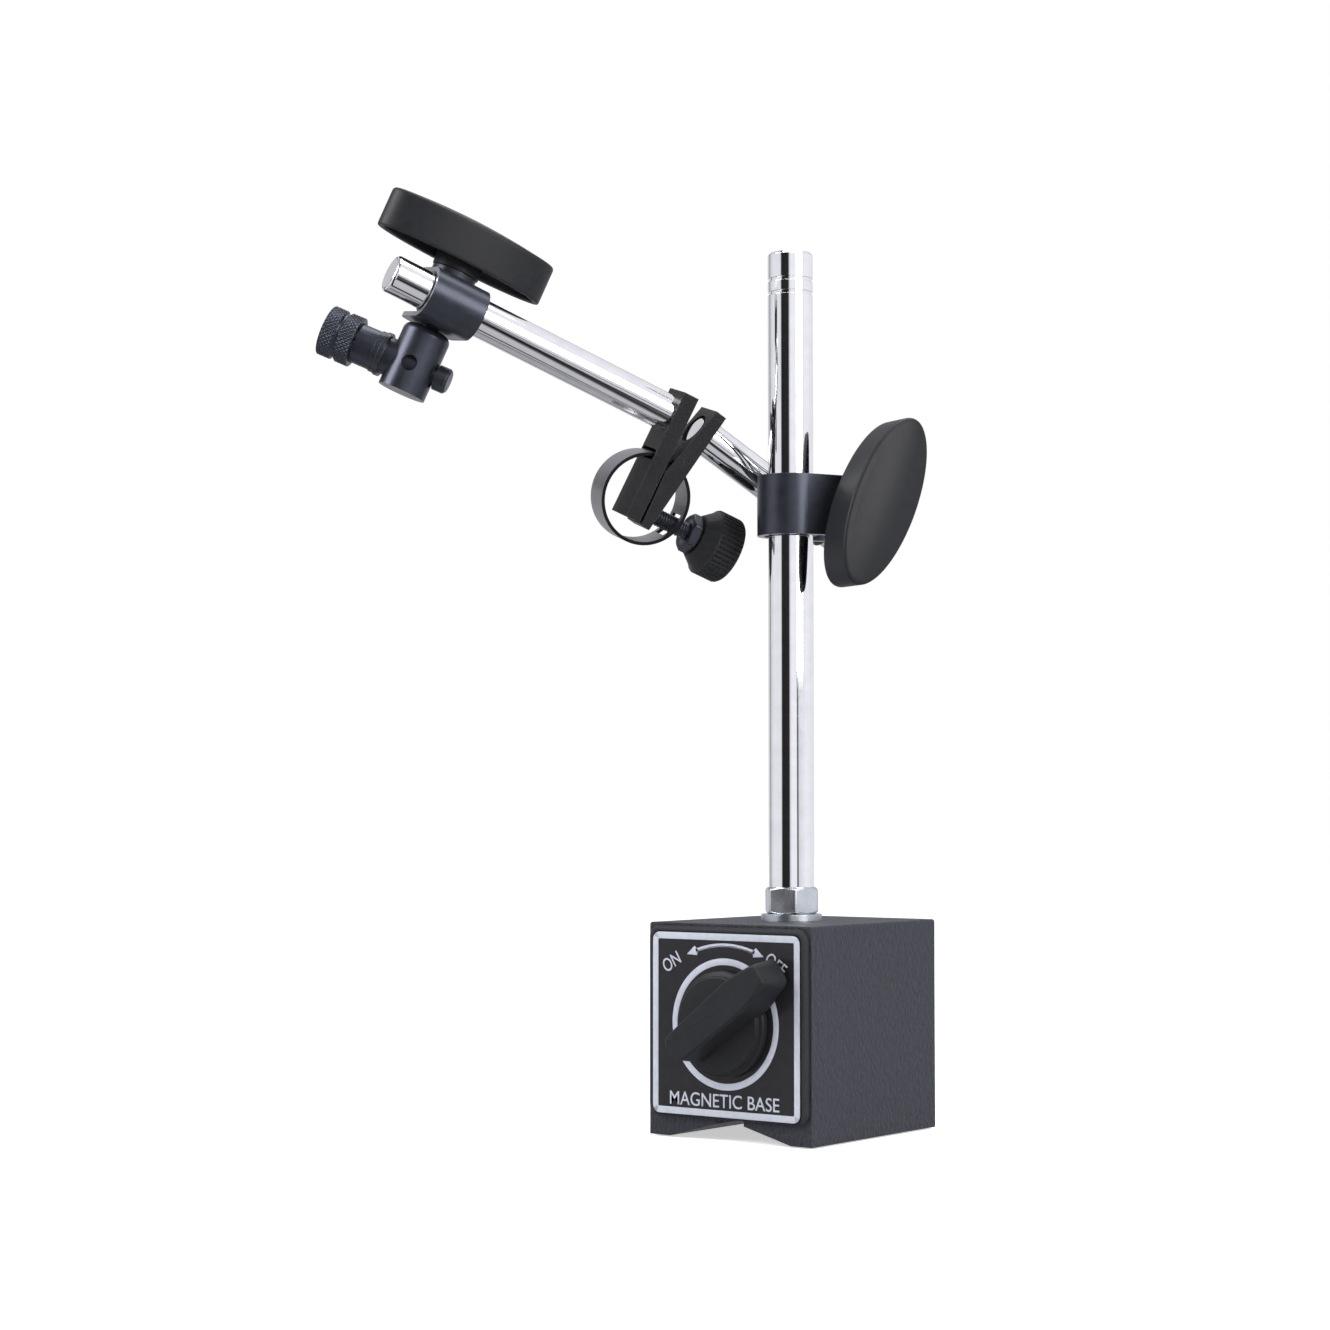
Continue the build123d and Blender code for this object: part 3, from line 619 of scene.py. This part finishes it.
def edged(finish, axis, color):
    """The finish with another colour on the edges that face along axis, where a strip was cut."""
    tree = finish.node_tree
    shader = tree.nodes["Principled BSDF"]
    face_color = shader.inputs["Base Color"].links[0].from_socket
    edges = facing(tree, tuple(axis), 0.95)
    tree.links.new(blend_color(tree, edges, face_color, color), shader.inputs["Base Color"])
    return finish


BLACKENED = blackened("blackened_steel")
roll_axis = np.array(JOINT["holder_roll"]["axis"])
pale_steel = (0.34, 0.35, 0.38)
repaint(edged(blackened("blackened_strip_column"), UP, pale_steel), "column_strap")
repaint(edged(blackened("blackened_strip_arm"), roll_axis, pale_steel), "arm_strap")
repaint(BLACKENED, "column_eye_bolt", "column_knob_spacer", "arm_knob_washer", "holder_barrel",
        "collet_washers", "stem_collet", "collet_tail_nut", "arm_bolt")


# ---- Clamp knobs -------------------------------------------------------------------------
# Oval glass-filled mouldings, slightly crowned, hollow behind a thin rim, each with a hub
# round a brass nut insert.  One closes the column clamp, the other the arm clamp.
BRASS = skinned("brass", (0.55, 0.38, 0.14), (0.8, 0.65, 0.35), 0.28, 1.0, (3000.0, 0.000006), 2.0)
repaint(BRASS, "column_knob_insert", "arm_knob_insert")


def oval_knob(long_half, short_half, wall, crown, count=144):
    """Rings of an oval cap: down inside the rim, up the wall and in over a parabolic crown."""
    skin_thick, roof, shoulder = 1.9, 4.6, 0.3
    turn = np.linspace(0, 2 * np.pi, count, endpoint=False)
    oval = np.stack([long_half * np.cos(turn), short_half * np.sin(turn)], axis=1)
    rim = softened([(skin_thick, wall - roof), (skin_thick, 0.25), (0.15, 0.0), (0.0, 0.6), (0.0, wall),
                    (1.6, wall + shoulder)], [0, 0.6, 0.2, 0.2, 1.0, 0], 7, closed=False)
    rings = moulded(oval, rim)
    shrink = np.linspace(0.95, 0.03, 16)[:, None, None]
    rise = wall + shoulder + (crown - shoulder) * (1 - shrink ** 2)
    top = np.concatenate([rings[-1:, :, :2] * shrink, np.repeat(rise, count, axis=1)], axis=2)
    ceiling = np.concatenate([rings[:1, :, :2] * shrink[-1], rings[:1, :, 2:]], axis=2)
    return np.concatenate([ceiling, rings, top])


knob_sizes = dict(long_half=23.95, short_half=9.57, wall=10.5, crown=1.6)
hub = softened([(5.0, 7.0), (5.0, -2.1), (6.35, -2.2), (6.35, 7.0)], [0, 0.2, 0.3, 0], 5, closed=False)


def clamp_knob(name, node, body, joint, face, long_axis):
    """Knob on a joint's axis: its rim plane is face millimetres out from the joint."""
    axis = np.array(JOINT[joint]["axis"])
    place = local(np.array(JOINT[joint]["pos_m"]) + axis * face * MM, axis, long_axis)
    cap = skin(name, oval_knob(**knob_sizes), place, MATTE_PLASTIC, body, "knob_plastic")
    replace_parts(cap, node)
    skin(name + "_hub", turned(hub), place, MATTE_PLASTIC, body, "knob_plastic")


sideways = np.cross(UP, np.array(JOINT["arm_pitch"]["axis"]))
knob_turn = np.radians(23.5)
clamp_knob("column_clamp_knob", "column_knob", "column_knob", "column_knob_turn", 13.9,
           UP * np.cos(knob_turn) + sideways * np.sin(knob_turn))
clamp_knob("arm_clamp_knob", "arm_knob", "arm_knob", "arm_knob_turn", 11.2, roll_axis)


# ---- Fine-adjust bars, hoop and screw ------------------------------------------------------
# Two bars painted black rock on a ridge.  A hoop of satin spring strip with black edges pulls
# them together above it, and the thumb screw spreads them below it.
BAR_PAINT = skinned("bar_paint", (0.012, 0.012, 0.0135), (0.16, 0.14, 0.13), 0.40, 0.2,
                    (1100.0, 0.00009), 4.0, 0.12, 0.0003)
SPRING_STRIP = skinned("blued_spring", (0.22, 0.22, 0.235), (0.4, 0.4, 0.42), 0.34, 0.9,
                       (1800.0, 0.000005), 3.0, 0.10)
flex_axis = np.array(JOINT["fine_flex"]["axis"])
repaint(BAR_PAINT, "front_bar", "rear_bar", "hoop_pin")
repaint(edged(SPRING_STRIP, flex_axis, (0.02, 0.02, 0.022)), "band_hoop")

screw_origin = np.array(JOINT["fine_screw_turn"]["pos_m"])
screw_axis = np.array(JOINT["fine_screw_turn"]["axis"])
SCREW = local(screw_origin, -screw_axis, flex_axis)


def threaded(radius, depth, pitch, start, end, count=36, steps=10):
    """Rings of a thread: the radius falls by depth times a triangle wave of height and turn."""
    turn = np.linspace(0, 2 * np.pi, count, endpoint=False)
    height = np.linspace(start, end, int((end - start) / pitch * steps))
    wave = np.abs(2 * ((height[:, None] / pitch - turn / (2 * np.pi)) % 1) - 1)
    r = radius - depth * wave
    rise = np.broadcast_to(height[:, None], r.shape)
    return np.stack([r * np.cos(turn), r * np.sin(turn), rise], axis=2)


thread = threaded(radius=2.4, depth=0.42, pitch=0.8, start=-4.2, end=23.0)
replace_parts(skin("fine_screw_thread", thread, SCREW, BLACKENED, "thumbscrew", "shaft_steel"), "fine_screw")
lock_start = 14.8
LOCK = local(screw_origin - screw_axis * lock_start * MM, -screw_axis, flex_axis)
lock_rings = hexagon_nut(flat=4.75, height=2.9, bore=2.3)
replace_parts(skin("lock_nut", lock_rings, LOCK, BLACKENED, "thumbscrew", "blackened_steel", along=True),
            "fine_lock_nut")


def ribbed_knob(profile, rib_start, rib_end, ribs, depth, count):
    """Turned rings whose radius is cut by ribs round the rim: depth times a rectified sine."""
    rings = turned(profile, count)
    height = rings[:, :1, 2]
    in_rim = np.clip((height - rib_start) / 0.3, 0, 1) * np.clip((rib_end - height) / 0.3, 0, 1)
    turn = np.linspace(0, 2 * np.pi, count, endpoint=False)
    cut = depth * in_rim * (1 - np.abs(np.sin(turn * ribs / 2)) ** 0.6)
    flat = rings[..., :2] * (1 - cut / np.maximum(np.linalg.norm(rings[..., :2], axis=2), 1))[..., None]
    return np.concatenate([flat, rings[..., 2:]], axis=2)


thumb = softened([(2.5, 17.85), (5.9, 17.85), (8.7, 21.5), (9.25, 21.7), (9.25, 22.1), (9.25, 28.0),
                  (8.5, 28.8), (3.0, 30.2), (0.4, 30.35)],
                 [0, 0.3, 0.3, 0.15, 0.1, 0.5, 0.4, 1.0, 0], 5, closed=False)
thumb_rings = ribbed_knob(thumb, rib_start=21.6, rib_end=28.6, ribs=40, depth=0.55, count=400)
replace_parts(skin("thumb_knob", thumb_rings, SCREW, MATTE_PLASTIC, "thumbscrew", "thumb_plastic"),
            "fine_knob")


# ---- Knurled nut of the gauge holder -------------------------------------------------------
# Blackened steel nut with two bands of diamond knurling and a plain groove between them.
# It closes the collet on the gauge's stem.
stem_axis = np.array(JOINT["stem_nut_turn"]["axis"])
SPINDLE = local(JOINT["stem_nut_turn"]["pos_m"], stem_axis, JOINT["holder_swivel"]["axis"])


def knurled(profile, bands, teeth, pitch, depth, count):
    """Turned rings with pyramids in the bands: two crossed triangle waves, the lower one cut in."""
    rings = turned(profile, count)
    height = rings[:, :1, 2]
    turn = np.linspace(0, 2 * np.pi, count, endpoint=False) * teeth / (2 * np.pi)
    left = np.abs(2 * ((turn + height / pitch) % 1) - 1)
    right = np.abs(2 * ((turn - height / pitch) % 1) - 1)
    mask = sum(np.clip((height - a) / 0.2, 0, 1) * np.clip((b - height) / 0.2, 0, 1) for a, b in bands)
    scale = 1 - depth * mask * np.maximum(left, right) / np.linalg.norm(rings[..., :2], axis=2)
    return np.concatenate([rings[..., :2] * scale[..., None], rings[..., 2:]], axis=2)


rise = np.linspace(16.25, 19.55, 34)
band_low = np.stack([np.full_like(rise, 6.8), rise], axis=1)
band_high = band_low + (0, 4.95)
mouth = [(4.2, 15.95), (6.4, 15.95), (6.7, 16.1)]
groove = [(6.5, 19.75), (6.05, 19.85), (6.05, 20.9), (6.5, 21.0)]
nose = [(6.6, 24.65), (6.35, 24.75), (4.15, 24.75)]
knurl_rings = knurled(np.concatenate([mouth, band_low, groove, band_high, nose]),
                      ((16.1, 19.75), (21.0, 24.65)), teeth=34, pitch=1.25, depth=0.42, count=408)
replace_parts(skin("stem_clamp_nut", knurl_rings, SPINDLE, BLACKENED, "clamp_nut", "blackened_steel",
                 along=True), "knurled_nut")
